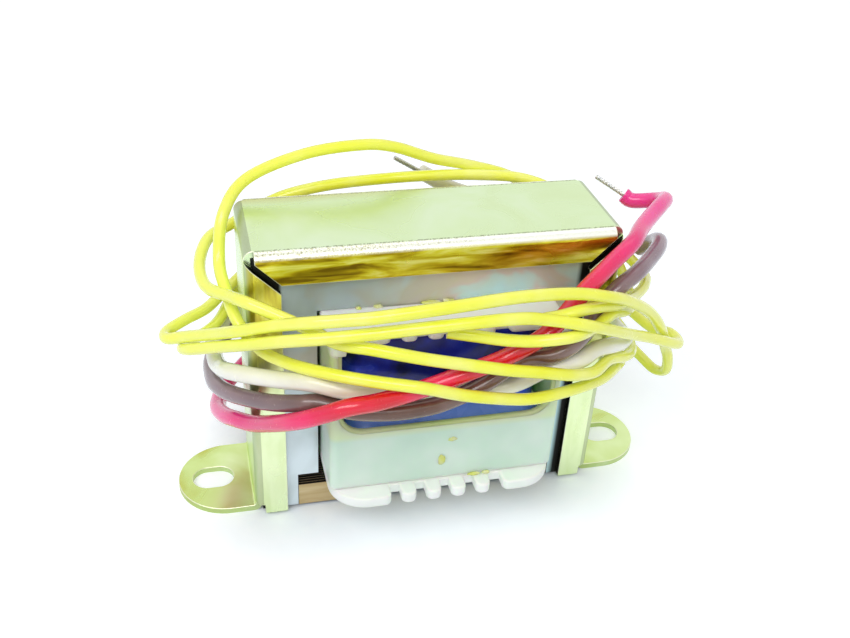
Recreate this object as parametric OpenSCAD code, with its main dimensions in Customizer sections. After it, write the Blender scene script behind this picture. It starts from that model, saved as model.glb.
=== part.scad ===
// Small laminated-core transformer in a folded channel frame with two slotted feet.
// The front faces -Y, the feet stand on z = 0 and the origin is under the middle of the core.

/* [Core] */
// Width of the core over both outer legs
core_w = 48; // [45:0.5:56]
// Height of the core from the leg tips to the top of the yoke
core_h = 41; // [38:0.5:48]
// Depth of the lamination stack
stack_d = 14.8; // [11:0.2:20]
// Width of each outer leg
leg_w = 8; // [6.5:0.1:9]
// Width of the centre leg
centre_w = 16; // [12:0.5:18]
// Height of the yoke over the windows
yoke_h = 8.2; // [6:0.1:9]
// Width of each leg tip beside the bottom bar
tip_w = 5.1; // [3:0.1:6]
// Height of the step at the inner side of each leg tip
step_h = 5.6; // [5:0.1:7]
// Height of the bottom bar
bar_h = 3.7; // [2:0.1:4.5]
// Height of the leg tips over the mounting surface
core_lift = 0.4; // [0.2:0.1:0.8]

/* [Frame] */
// Thickness of the folded sheet
sheet_t = 1; // [0.7:0.05:1.3]
// Inner radius of every fold
fold_r = 0.3; // [0.2:0.05:0.6]
// Width of the lips that hold the stack, over the fold
lip_w = 4.5; // [3:0.1:6]
// Gap between the mitred ends of two lips
mitre_gap = 0.9; // [0.3:0.1:1.6]
// Height of the relief cut between each lip and its foot
relief_h = 0.6; // [0.3:0.1:2]

/* [Feet] */
// Distance from each side wall to the centre of its slot
slot_out = 5.5; // [5:0.1:9]
// Length of each mounting slot from end to end
slot_l = 5.9; // [5:0.1:7]
// Width of each mounting slot
slot_w = 4.4; // [3:0.1:4.6]
// Sheet left between a slot and the end of its foot
foot_rim = 2.05; // [1.5:0.05:5]

/* [Bobbin] */
// Clearance between the bobbin's tube and the centre leg
fit_gap = 0.1; // [0.05:0.01:0.3]
// Clearance between the outer legs and what fills the windows
side_gap = 0.4; // [0.2:0.05:0.8]
// Wall of the bobbin's tube
tube_t = 1; // [0.6:0.1:1.3]
// Height of the bobbin under the yoke
bobbin_h = 24.9; // [22:0.1:26]
// Thickness of the top flange
top_t = 1.5; // [0.8:0.1:2.5]
// Thickness of the base flange
base_t = 1.6; // [0.8:0.1:2.5]
// Thickness of the partition between the windings
part_t = 1; // [0.6:0.1:2]
// Height of the partition's upper face over the underside of the base flange
part_h = 10.1; // [8:0.1:13]
// Reach of the top flange past the winding covers
top_lap = 0.3; // [0.1:0.1:1]
// Reach of the base flange past the winding covers
base_lap = 2.5; // [2:0.1:4]
// Corner radius of the base flange
base_r = 5; // [2:0.1:5.5]
// Number of slots in each comb
comb_n = 5; // [1:1:6]
// Distance between the slots of a comb
comb_pitch = 3.45; // [2.5:0.05:3.8]
// Width of a comb slot
comb_w = 1.4; // [0.8:0.1:1.8]
// Depth of the comb slots in the base flange
base_comb = 2.3; // [1:0.1:2.4]
// Distance that the top flange's edge is set back between the corners of the covers
top_back = 1.9; // [0.5:0.1:2.3]
// Depth of the comb slots in the top flange
top_comb = 0.9; // [0.4:0.1:1.2]
// Width of the wide slot at the +X end of each comb
comb_end_w = 1.8; // [1.3:0.1:2.4]

/* [Windings and covers] */
// Thickness of the tape round each winding
tape_t = 0.3; // [0.1:0.05:0.5]
// Corner radius of the windings
wind_r = 3; // [1.5:0.1:3.6]
// Space between the taped windings and the covers' side walls
side_air = 1.1; // [0.5:0.1:2]
// Space between the taped windings and the covers' end walls
end_air = 1.8; // [1:0.1:4]
// Wall of the winding covers
cover_t = 1; // [0.6:0.1:1.4]
// Height of the covers' end walls over the base flange
rim_h = 9.1; // [7:0.1:12]
// Corner radius of the opening over each end wall
opening_r = 3.5; // [1:0.1:5]

/* [Leads] */
// Diameter of the thick leads
thick_d = 2.3; // [1.6:0.1:2.4]
// Diameter of the thin leads
thin_d = 1.6; // [1:0.1:1.8]
// Diameter of the bare tip of a thick lead
thick_tip_d = 0.7; // [0.5:0.1:1.2]
// Diameter of the bare tip of a thin lead
thin_tip_d = 0.6; // [0.3:0.1:0.8]
// Length of the bare tips
tip_l = 5; // [3:0.5:6]

/* [Hidden] */
$fn = 48;

// Frame outside
frame_w = core_w + 2 * sheet_t;
frame_d = stack_d + 2 * sheet_t;
core_z = core_lift + core_h;
frame_h = core_z + sheet_t;
fold_out = fold_r + sheet_t;
web_half = frame_d / 2 - fold_out;
mitre_drop = mitre_gap * sqrt(2);
slot_x = frame_w / 2 + slot_out;
foot_end = slot_x + slot_l / 2 + foot_rim;

// Windows of the core
window_x = core_w / 2 - leg_w;
window_top = core_z - yoke_h;
window_w = window_x - centre_w / 2;
bar_half = core_w / 2 - tip_w;
bar_top = core_lift + bar_h;

// Bobbin
tube_in = [centre_w / 2 + fit_gap, stack_d / 2 + fit_gap];
tube_out = [tube_in[0] + tube_t, tube_in[1] + tube_t];
base_z = window_top - bobbin_h;
base_top = base_z + base_t;
top_z = window_top - top_t;
part_top = base_z + part_h;
part_z = part_top - part_t;
flange_half = window_x - side_gap;

// Windings and covers
build = window_w - fit_gap - tube_t - tape_t - side_air - cover_t - side_gap;
coil_half = [tube_out[0] + build, tube_out[1] + build];
tape_half = [coil_half[0] + tape_t, coil_half[1] + tape_t];
cover_reach = tape_half[1] + end_air + cover_t;
top_reach = cover_reach + top_lap;
base_reach = cover_reach + base_lap;
rim_z = base_top + rim_h;
part_half = [flange_half - cover_t - side_gap, cover_reach - cover_t - side_gap];

// Routes of the leads, from the back of the upper winding's tape to the end of the sleeve
tape_y = tape_half[1];
red_route = [
  [-8, tape_y, 21.5], [-8, 15, 21.5], [-9.5, 18, 21], [-13, 19.5, 19], [-18, 18, 15.5],
  [-23, 13.5, 12.8], [-27.5, 8, 11.8], [-29, 2, 12.8], [-28.5, -2.5, 14.5], [-27, -6.5, 16.5],
  [-24.5, -10.5, 18.5], [-20.5, -17.1, 23.5], [-17, -19.5, 26], [-14, -20.5, 27.5],
  [-10, -20, 27.5], [-4.5, -19, 28], [1.5, -18.5, 29.5], [6.5, -17.5, 30.5], [11, -17.5, 33],
  [14.3, -16.1, 35.2], [17.5, -14, 37.2], [20, -12.6, 38.5], [22.3, -11.2, 39.6],
  [24.6, -9.9, 40.6], [26.3, -8.3, 40.9], [28.5, -5.2, 40.7], [31.3, -2, 40.6],
  [34.3, 1.2, 40.6], [36.4, 4, 40], [36.3, 6.7, 38.6], [33.8, 8.9, 37.6],
  [32.7, 9.7, 38.2]];
brown_route = [
  [-4.5, tape_y, 24.5], [-4.5, 15, 24.5], [-6, 18, 24.5], [-9.5, 19.5, 24], [-16, 18.5, 23],
  [-21.5, 15.5, 21.5], [-26, 11, 20], [-29, 6.5, 18.5], [-29.5, 2, 18.5], [-29, -2.5, 19.5],
  [-27, -7, 21], [-23, -12, 23], [-19.5, -15.5, 25], [-17, -16.5, 25.5], [-13, -18, 24.8],
  [-8, -18.5, 24.4], [-3.9, -18.3, 24.4], [-1, -18, 24.8], [3.5, -17.4, 26.2], [9, -16.5, 29],
  [12.5, -17.5, 30], [15.5, -17, 31], [18.6, -14.3, 31.3], [20.7, -11.6, 32.2], [24, -10.4, 34.8],
  [27, -9, 36], [30, -6, 35.9], [33.1, -2.5, 35.8], [34.8, 0.6, 35.2], [35.2, 3.2, 33.6],
  [34.6, 5.6, 31.2]];
white_route = [
  [-1, tape_y, 27.5], [-1, 15, 27.5], [-2.5, 18, 27.5], [-6, 19.5, 27.5], [-14, 18.5, 26],
  [-20.5, 15.5, 24.5], [-25.5, 11.5, 23], [-28.5, 7, 21.5], [-29, 2, 21.5], [-28.5, -2.5, 22.5],
  [-27, -7.5, 25], [-22, -12, 26.5], [-18, -15.5, 28], [-14, -17.1, 27.5], [-9, -16.5, 26],
  [0, -15, 24.5], [5, -15.5, 24], [9, -16, 25], [12.1, -17, 27.4], [16.8, -16.7, 28.1],
  [20.1, -14.8, 28.3], [25, -11.5, 26.5], [27.5, -8, 25], [28, -4, 24], [27.5, 1, 24.5],
  [27, 5, 26], [25.5, 9.5, 29], [19, 15, 33], [11, 17.3, 36], [7.5, 17.6, 37.4],
  [5.2, 17.5, 38.9], [3.2, 17.3, 40.2]];
yellow_a_route = [
  [2.5, tape_y, 21.5], [2.5, 15, 21.5], [3.5, 17, 21.5], [6.5, 18.5, 21], [13, 18, 20.5],
  [20, 15, 20], [26, 10, 19.5], [29.5, 4, 19], [29.5, -2, 19], [28.2, -6.8, 20.1],
  [25.5, -10.5, 21.5], [21.8, -14.1, 22.6], [16.4, -17.7, 24.3], [11, -19.3, 24.8],
  [7, -20, 25.6], [0.5, -20.9, 27.7], [-5, -21, 29.6], [-9.9, -19.9, 30.2], [-14, -18.5, 30.5],
  [-18, -15.5, 30], [-21, -12.5, 29.5], [-23.6, -10.4, 30.2], [-26, -7.4, 32.6],
  [-27.1, -3, 34.9], [-27.5, 1, 37], [-26.5, 4, 42], [-23, 8, 45], [-15, 10.5, 47],
  [-7, 11.5, 47.5], [-2, 12.5, 46.5], [4, 13.5, 44], [10.5, 14.5, 42], [17, 15, 39.5],
  [25, 12.5, 35], [31, 7.5, 31.5], [33.3, 1, 29.9], [31.3, -4, 30.8], [27.6, -8.4, 31.9],
  [23.2, -13.2, 34.1], [19.4, -15.4, 35.4], [15.7, -17.5, 36.5], [13.1, -17.8, 36.2],
  [10.8, -18, 36.1]];
yellow_b_route = [
  [5.5, tape_y, 24.5], [5.5, 15, 24.5], [6.5, 17, 24.5], [9.5, 18.5, 24], [15, 17.5, 23],
  [20.5, 15, 22.5], [26.5, 10.5, 22], [30, 5, 21.5], [31, -1, 21], [30, -6, 21.5],
  [27, -10.5, 23.5], [22.9, -13.5, 25.4], [19, -17.4, 26.6], [15.1, -19.4, 28],
  [10.3, -20.3, 29.6], [6, -20.5, 30.6], [0.6, -20.3, 31.9], [-5, -19.9, 33.2],
  [-10.8, -18.8, 34.4], [-14.8, -16.8, 34.4], [-18.3, -14.7, 35.6], [-21.1, -12.7, 36.2],
  [-25, -10, 37], [-27, -6.5, 36], [-29.5, -2, 35], [-30, 3, 35.5], [-28.5, 8, 36.5],
  [-25, 11, 37], [-21, 11.3, 39.2], [-16.9, 11.6, 40.7], [-11, 12.3, 41.4], [-3.9, 13, 41.5],
  [3.1, 13, 41.6], [10.4, 13, 41.3], [17.6, 12.5, 40.5], [23, 10.5, 38.5], [28, 7, 34.5],
  [30.5, 1.5, 29.5], [27.6, -7.8, 29.9], [22.6, -12.8, 32.4], [18.9, -16, 32.8],
  [14.4, -19.7, 34.2], [9.9, -19.4, 33.8], [5.8, -19, 34.1], [2.1, -18.6, 34.8], [-1.6, -17.8, 35.3]];
yellow_c_route = [
  [8.5, tape_y, 27], [8.5, 15, 27], [9.5, 17, 27], [12.5, 18.5, 26], [18, 18, 24.5],
  [23.5, 15.5, 21.5], [29.5, 11, 18], [34, 6, 15.5], [36.5, 2.5, 13.5], [38, 0, 12.5],
  [38.5, -2.5, 14], [37.5, -4, 17.5], [36, -5, 20.5], [32.8, -8.5, 25.9], [29.1, -10.9, 30.7],
  [23.7, -14.5, 35.3], [19.4, -16.7, 37.7], [14.5, -17.7, 39.2], [7, -19.1, 40.3],
  [-2, -19.9, 40.2], [-10.5, -19.8, 39.6], [-14, -18.6, 38.8], [-18, -17.1, 37.9],
  [-22, -14, 35.9], [-25.9, -10.8, 33.5], [-29, -6.5, 30.5], [-32.5, -2.6, 27.9],
  [-35, -0.5, 26.5], [-35, 2, 26], [-32.5, 4.5, 26], [-29.5, 7, 26], [-26.5, 10, 27],
  [-21, 16, 28], [-12.5, 22, 28.5], [-4, 23, 28.5], [4, 22.5, 29], [10, 21.5, 31],
  [15, 19.5, 33]];
yellow_d_route = [
  [11.5, tape_y, 29], [11.5, 15, 29], [12.5, 17, 29], [15.5, 18, 28.5], [21, 16.5, 27],
  [26.5, 12.5, 24.5], [32.5, 7, 22], [36, 0, 20.5], [37, -4, 22], [36.1, -8.1, 22.9],
  [29.6, -11.3, 26.8], [25, -13.9, 29.6], [20, -17.4, 33.1], [16, -19.5, 35.5],
  [10.9, -19.6, 36.9], [6.4, -20.1, 37.9], [-2.2, -20.1, 37.8], [-10, -19.2, 37],
  [-16, -18.3, 36.3], [-21, -16.2, 35], [-26, -11, 31.5], [-28.5, -8, 29.5], [-32.5, -3.5, 26.5],
  [-33, -0.5, 25], [-31.5, 2.5, 24], [-28, 7, 23.7], [-24.5, 13, 25.7], [-19.5, 19, 25.5],
  [-12, 22.5, 25], [-3, 23, 24.5], [5, 22.5, 23], [12, 20.5, 20.5], [18, 18.5, 18]];

// Rectangle about the origin with round corners
module round_rect(half, r) {
  square([2 * half[0] - 2 * r, 2 * half[1]], center = true);
  square([2 * half[0], 2 * half[1] - 2 * r], center = true);
  for (x = [-1, 1], y = [-1, 1])
    translate([x * (half[0] - r), y * (half[1] - r)]) circle(r);
}

// Quarter of a bent sheet in the corner where x and y are positive
module fold_section() {
  intersection() {
    difference() {
      circle(fold_out);
      circle(fold_r);
    }
    square(fold_out);
  }
}

// The same fold pressed tight on the stack, with a sharp inside
module tight_fold_section() {
  intersection() {
    difference() {
      circle(fold_out);
      square(2 * fold_r, center = true);
    }
    square(fold_out);
  }
}

// Extrudes a profile drawn in x and z, centred on y = 0
module along_y(depth) {
  rotate([90, 0, 0]) linear_extrude(depth, center = true) children();
}

// Web of the frame between the feet, bent over the core
module web() {
  along_y(2 * web_half) {
    translate([-frame_w / 2 + fold_out, core_z]) square([frame_w - 2 * fold_out, sheet_t]);
    for (side = [0, 1]) mirror([side, 0]) {
      translate([frame_w / 2 - fold_out, frame_h - fold_out]) tight_fold_section();
      translate([core_w / 2, fold_out])
        square([sheet_t, frame_h - 2 * fold_out]);
    }
  }
}

// Foot at +X: a fold, a round-ended tongue and its slot
module foot() {
  difference() {
    intersection() {
      along_y(2 * web_half) {
        translate([frame_w / 2 + fold_r, fold_out]) rotate(180) fold_section();
        translate([frame_w / 2 + fold_r, 0]) square([foot_end - frame_w / 2 - fold_r, sheet_t]);
      }
      translate([0, 0, -sheet_t]) linear_extrude(frame_h) {
        translate([0, -web_half]) square([foot_end - web_half, 2 * web_half]);
        translate([foot_end - web_half, 0]) circle(web_half);
      }
    }
    translate([slot_x, 0, -sheet_t]) linear_extrude(3 * sheet_t)
      for (end = [-1, 1]) {
        translate([end * (slot_l - slot_w) / 2, 0]) circle(slot_w / 2);
        square([slot_l - slot_w, slot_w], center = true);
      }
  }
}

// Lip under the top at -Y, with mitred ends
module top_lip() {
  intersection() {
    rotate([90, 0, 90]) linear_extrude(frame_w, center = true) {
      translate([-web_half, frame_h - fold_out]) mirror([1, 0]) tight_fold_section();
      translate([-frame_d / 2, frame_h - lip_w]) square([sheet_t, lip_w - fold_out]);
    }
    along_y(2 * frame_d) for (side = [0, 1]) mirror([side, 0])
      polygon([[0, frame_h - lip_w], [frame_w / 2 - lip_w, frame_h - lip_w],
               [frame_w / 2 - fold_out, frame_h - fold_out], [frame_w / 2 - fold_out, frame_h],
               [0, frame_h]]);
  }
}

// Lip of the side wall at +X and -Y, mitred at the top and relieved over the foot
module side_lip() {
  intersection() {
    union() {
      translate([frame_w / 2 - fold_out, -web_half, fold_out + relief_h]) mirror([0, 1])
        linear_extrude(frame_h) tight_fold_section();
      translate([frame_w / 2 - lip_w, -frame_d / 2, core_lift])
        cube([lip_w - fold_out, sheet_t, frame_h]);
    }
    along_y(2 * frame_d)
      polygon([[frame_w / 2 - lip_w, 0], [frame_w / 2, 0], [frame_w / 2, frame_h - mitre_drop],
               [frame_w / 2 - lip_w, frame_h - mitre_drop - lip_w]]);
  }
}

module channel_frame() {
  color("#cdbf55") {
    web();
    for (side = [0, 1]) mirror([side, 0, 0]) foot();
    for (face = [0, 1]) mirror([0, face, 0]) {
      top_lip();
      for (side = [0, 1]) mirror([side, 0, 0]) side_lip();
    }
  }
}

module lamination_stack() {
  color("#b9c4cf") along_y(stack_d) difference() {
    translate([-core_w / 2, core_lift]) square([core_w, core_h]);
    for (side = [0, 1]) mirror([side, 0])
      translate([centre_w / 2, 0]) square([window_w, window_top]);
    translate([-bar_half, 0]) square([2 * bar_half, bar_top]);
    for (side = [0, 1]) mirror([side, 0])
      translate([window_x - window_w / 2, 0])
        square([bar_half - window_x + window_w / 2, core_lift + step_h]);
  }
}

module yoke_bar() {
  color("#c9ad74") along_y(stack_d)
    translate([-bar_half, core_lift]) square([2 * bar_half, bar_h]);
}

// Edge of a comb slot at -Y, left = the one at -X of slot i
function slot_edge(i, left) =
  (i - (comb_n - 1) / 2) * comb_pitch - comb_w / 2
  + (left ? 0 : i == comb_n - 1 ? max(comb_end_w, comb_w) : comb_w);

// Round-tipped teeth of a comb, in the -Y edge of a flange that reaches to y = -reach
module teeth(reach, depth, r) {
  for (i = [-1 : comb_n - 1]) {
    from = i < 0 ? slot_edge(0, true) - 2 * r : slot_edge(i, false);
    to = i == comb_n - 1 ? from + 2 * r : slot_edge(i + 1, true);
    translate([from + r, r - reach]) circle(r);
    translate([from, r - reach]) square([to - from, depth]);
    if (i >= 0 && i < comb_n - 1) {
      translate([to - r, r - reach]) circle(r);
      translate([from + r, -reach]) square([to - from - 2 * r, depth]);
    }
  }
}

// Flange outline with a comb at both ends, set back between its corners
module flange(reach, r, depth, back) {
  tip = min(0.45 * (comb_pitch - comb_w), 0.9 * depth);
  from = slot_edge(0, true) - tip;
  to = slot_edge(comb_n - 1, false) + tip;
  difference() {
    round_rect([flange_half, reach], r);
    for (face = [0, 1]) mirror([0, face]) {
      translate([from, -2 * reach]) square([to - from, reach + back + depth]);
      if (back > 0) translate([2 * cover_t - flange_half, -2 * reach])
        square([2 * flange_half - 4 * cover_t, reach + back]);
    }
  }
  for (face = [0, 1]) mirror([0, face]) teeth(reach - back, depth, tip);
}

module bobbin() {
  color("#dfe8dc") difference() {
    union() {
      translate([0, 0, base_z]) linear_extrude(bobbin_h) square(2 * tube_out, center = true);
      translate([0, 0, base_z]) linear_extrude(base_t) flange(base_reach, base_r, base_comb, 0);
      translate([0, 0, part_z]) linear_extrude(part_t) round_rect(part_half, cover_t);
      translate([0, 0, top_z]) linear_extrude(top_t) flange(top_reach, cover_t, top_comb, top_back);
    }
    translate([0, 0, base_z - base_t])
      linear_extrude(bobbin_h + 2 * base_t) square(2 * tube_in, center = true);
  }
}

// Half of the winding cover, round the -Y side of the windings
module cover_half() {
  difference() {
    translate([0, 0, base_top]) linear_extrude(top_z - base_top) difference() {
      round_rect([flange_half, cover_reach], cover_t);
      square([2 * (flange_half - cover_t), 2 * (cover_reach - cover_t)], center = true);
      translate([-core_w, 0]) square([2 * core_w, 2 * cover_reach]);
    }
    translate([0, -cover_reach, 0]) along_y(4 * cover_t) {
      translate([-flange_half + cover_t, rim_z + opening_r])
        square([2 * (flange_half - cover_t), core_h]);
      translate([-flange_half + cover_t + opening_r, rim_z])
        square([2 * (flange_half - cover_t - opening_r), core_h]);
      for (side = [-1, 1])
        translate([side * (flange_half - cover_t - opening_r), rim_z + opening_r])
          circle(opening_r);
    }
  }
}

module winding_cover_front() {
  color("#e4ece2") cover_half();
}

module winding_cover_rear() {
  color("#e4ece2") mirror([0, 1, 0]) cover_half();
}

// Ring between two outlines, from one height to another
module wound(inner, outer, inner_r, outer_r, low, high) {
  translate([0, 0, low]) linear_extrude(high - low) difference() {
    round_rect(outer, outer_r);
    if (inner_r > 0) round_rect(inner, inner_r);
    else square(2 * inner, center = true);
  }
}

module primary_winding() {
  color("#b5602f") wound(tube_out, coil_half, 0, wind_r - tape_t, base_top, part_z);
}

module primary_tape() {
  color("#d9d7c4") wound(coil_half, tape_half, wind_r - tape_t, wind_r, base_top, part_z);
}

module secondary_winding() {
  color("#b5602f") wound(tube_out, coil_half, 0, wind_r - tape_t, part_top, top_z);
}

module secondary_tape() {
  color("#2338a8") wound(coil_half, tape_half, wind_r - tape_t, wind_r, part_top, top_z);
}

// Point at t on the smooth curve through p1 and p2
function curve_point(p0, p1, p2, p3, t) =
  (2 * p1 + (p2 - p0) * t + (2 * p0 - 5 * p1 + 4 * p2 - p3) * t ^ 2
   + (3 * p1 - p0 - 3 * p2 + p3) * t ^ 3) / 2;

// Points of a smooth line through a route, with some steps from each point to the next
function smooth_line(route, steps) =
  let (last = len(route) - 1)
  [for (i = [0 : last - 1], k = [0 : steps - 1])
     curve_point(route[max(i - 1, 0)], route[i], route[i + 1], route[min(i + 2, last)], k / steps),
   route[last]];

function unit(v) = v / norm(v);

// Direction at each point of a smooth line, square to the route at both of its ends
function headings(route, line) =
  let (last = len(line) - 1, end = len(route) - 1)
  [unit(route[1] - route[0]),
   for (i = [1 : last - 1]) unit(line[i + 1] - line[i - 1]),
   unit(route[end] - route[end - 1])];

// Side vector at each point, turned as little as possible from the one before
function sides(ahead, side, i = 0) =
  let (flat = unit(side - ahead[i] * (side * ahead[i])))
  i == len(ahead) - 1 ? [flat] : concat([flat], sides(ahead, flat, i + 1));

// Round lead swept along a route
module lead(route, d, steps = 2, edges = 8) {
  line = smooth_line(route, steps);
  ahead = headings(route, line);
  across = sides(ahead, [0, 0, 1]);
  last = len(line) - 1;
  points = [for (i = [0 : last], k = [0 : edges - 1])
    let (angle = 360 * k / edges)
    line[i] + d / 2 * (cos(angle) * across[i] + sin(angle) * cross(ahead[i], across[i]))];
  faces = concat(
    [[for (k = [0 : edges - 1]) k]],
    [for (i = [0 : last - 1], k = [0 : edges - 1]) let (next = (k + 1) % edges)
      [i * edges + k, (i + 1) * edges + k, (i + 1) * edges + next, i * edges + next]],
    [[for (k = [edges - 1 : -1 : 0]) last * edges + k]]);
  polyhedron(points, faces);
}

// Bare tinned wire that goes on from the end of a route
module bare_tip(route, d) {
  end = route[len(route) - 1];
  ahead = unit(end - route[len(route) - 2]);
  color("#c4c6c8") translate(end)
    rotate([0, acos(ahead[2]), atan2(ahead[1], ahead[0])]) cylinder(tip_l, d = d);
}

module lead_red() {
  color("#d8263c") lead(red_route, thick_d);
}

module lead_brown() {
  color("#7a6258") lead(brown_route, thick_d);
}

module lead_white() {
  color("#ece8e4") lead(white_route, thick_d);
}

module lead_yellow_a() {
  color("#e4e234") lead(yellow_a_route, thin_d);
}

module lead_yellow_b() {
  color("#e4e234") lead(yellow_b_route, thin_d);
}

module lead_yellow_c() {
  color("#e4e234") lead(yellow_c_route, thin_d);
}

module lead_yellow_d() {
  color("#e4e234") lead(yellow_d_route, thin_d);
}

module tip_red() {
  bare_tip(red_route, thick_tip_d);
}

module tip_brown() {
  bare_tip(brown_route, thick_tip_d);
}

module tip_white() {
  bare_tip(white_route, thick_tip_d);
}

module tip_yellow_a() {
  bare_tip(yellow_a_route, thin_tip_d);
}

module tip_yellow_b() {
  bare_tip(yellow_b_route, thin_tip_d);
}

module tip_yellow_c() {
  bare_tip(yellow_c_route, thin_tip_d);
}

module tip_yellow_d() {
  bare_tip(yellow_d_route, thin_tip_d);
}

channel_frame();
lamination_stack();
yoke_bar();
bobbin();
winding_cover_front();
winding_cover_rear();
primary_winding();
primary_tape();
secondary_winding();
secondary_tape();
lead_red();
lead_brown();
lead_white();
lead_yellow_a();
lead_yellow_b();
lead_yellow_c();
lead_yellow_d();
tip_red();
tip_brown();
tip_white();
tip_yellow_a();
tip_yellow_b();
tip_yellow_c();
tip_yellow_d();
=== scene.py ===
# Small mains transformer: E sheets and a split bobbin in a folded frame, with seven flying leads
import math
import bmesh
import bpy
from mathutils import Matrix, Vector, noise
from mathutils.geometry import interpolate_bezier


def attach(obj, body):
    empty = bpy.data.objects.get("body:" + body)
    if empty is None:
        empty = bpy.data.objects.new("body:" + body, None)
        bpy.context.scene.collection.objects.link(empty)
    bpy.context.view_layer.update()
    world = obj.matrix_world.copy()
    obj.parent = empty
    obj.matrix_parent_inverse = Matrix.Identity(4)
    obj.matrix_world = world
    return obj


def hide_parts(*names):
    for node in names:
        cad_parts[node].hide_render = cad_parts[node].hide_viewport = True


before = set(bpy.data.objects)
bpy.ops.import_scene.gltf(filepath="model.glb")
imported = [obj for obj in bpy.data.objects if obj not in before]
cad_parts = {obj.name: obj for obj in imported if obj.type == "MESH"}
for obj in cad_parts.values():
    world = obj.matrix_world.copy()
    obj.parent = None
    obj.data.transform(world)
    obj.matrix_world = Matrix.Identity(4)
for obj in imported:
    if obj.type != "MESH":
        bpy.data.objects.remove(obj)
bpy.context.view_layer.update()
mm = 0.001
print("frame loaded:", len(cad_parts), "nodes")

# Camera where the photograph was taken from, in millimetres and degrees
shot = {"lens": 43.004, "sensor": 36, "clip": (5, 10000), "azimuth": -15.394, "elevation": 32.775,
        "roll": 3.41, "distance": 145.401, "target": (0.821, 1.514, 24.606)}
camera = bpy.data.objects.new("camera", bpy.data.cameras.new("camera"))
bpy.context.scene.collection.objects.link(camera)
bpy.context.scene.camera = camera
camera.data.lens, camera.data.sensor_width = shot["lens"], shot["sensor"]
camera.data.clip_start, camera.data.clip_end = (reach * mm for reach in shot["clip"])
turn = (Matrix.Rotation(math.radians(shot["azimuth"]), 4, "Z")
        @ Matrix.Rotation(math.radians(90 - shot["elevation"]), 4, "X")
        @ Matrix.Rotation(math.radians(shot["roll"]), 4, "Z"))
back = turn.to_3x3() @ Vector((0, 0, 1))
camera.matrix_world = Matrix.Translation((Vector(shot["target"]) + back * shot["distance"]) * mm) @ turn
print("camera set")


# sRGB hex to the linear values that sockets take
def linear(hexColour):
    parts = [int(hexColour[i:i + 2], 16) / 255 for i in (1, 3, 5)]
    return [p / 12.92 if p <= 0.04045 else ((p + 0.055) / 1.055) ** 2.4 for p in parts] + [1]


# noise cells per metre for a pattern whose marks are this many millimetres
def cells(size):
    return 1000 / size


# the inputs of a range that runs between two places in millimetres
def between(start, end):
    return {"From Min": start * mm, "From Max": end * mm}


# sets a node's inputs: links where a socket gives the value, plain values elsewhere
def dress(tree, node, inputs):
    for name, value in inputs.items():
        if isinstance(value, bpy.types.NodeSocket):
            tree.links.new(value, node.inputs[name])
        else:
            node.inputs[name].default_value = value


# adds a node with its settings and inputs
# a Mix node's inputs go by number, as many share a name: 0 the amount, 4 and 5 vectors, 6 and 7 colours
def addNode(tree, kind, inputs, **settings):
    node = tree.nodes.new("ShaderNode" + kind)
    for name, value in settings.items():
        if name == "stops":
            ramp = node.color_ramp.elements
            while len(ramp) < len(value):
                ramp.new(1)
            for stop, (at, colour) in zip(ramp, value):
                stop.position, stop.color = at, linear(colour)
        else:
            setattr(node, name, value)
    dress(tree, node, inputs)
    return node


# empty material with its shader, and the object coordinates that its patterns read
def startMaterial(name):
    material = bpy.data.materials.new(name)
    material.use_nodes = True
    tree = material.node_tree
    return material, tree, tree.nodes["Principled BSDF"], addNode(tree, "TexCoord", {}).outputs["Object"]


# puts a finished mesh into the scene as a piece on the body, standing for its nodes
def addPiece(name, data, material, nodes):
    piece = bpy.data.objects.new(name, data)
    bpy.context.scene.collection.objects.link(piece)
    data.materials.append(material)
    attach(piece, "root")
    if nodes:
        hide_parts(*nodes)
    return piece


# closes a bmesh into a mesh with smooth faces and sharp corners past 35 degrees
def closeMesh(bm, name):
    mesh = bpy.data.meshes.new(name)
    bm.to_mesh(mesh)
    bm.free()
    mesh.shade_smooth()
    mesh.set_sharp_from_angle(angle=math.radians(35))
    return mesh


# Sleeves: four tones each, from deep to a painted sheen for the loop ends, and how many millimetres out a
# loop takes that sheen, and how much
sleeveTones = {"red": ("#d40018", "#e6042e", "#f61e5c", "#fc3cae"),
               "brown": ("#503324", "#6e4e3f", "#957a74", "#9d8898"),
               "white": ("#e4dfc6", "#eeebd8", "#f7f5ea", "#fbfaf4"),
               "yellow": ("#f2f736", "#f6fc58", "#fbff88", "#f8ff72")}
sleeveEndSheen = {"reach": (14, 32), "most": 0.7}
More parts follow.
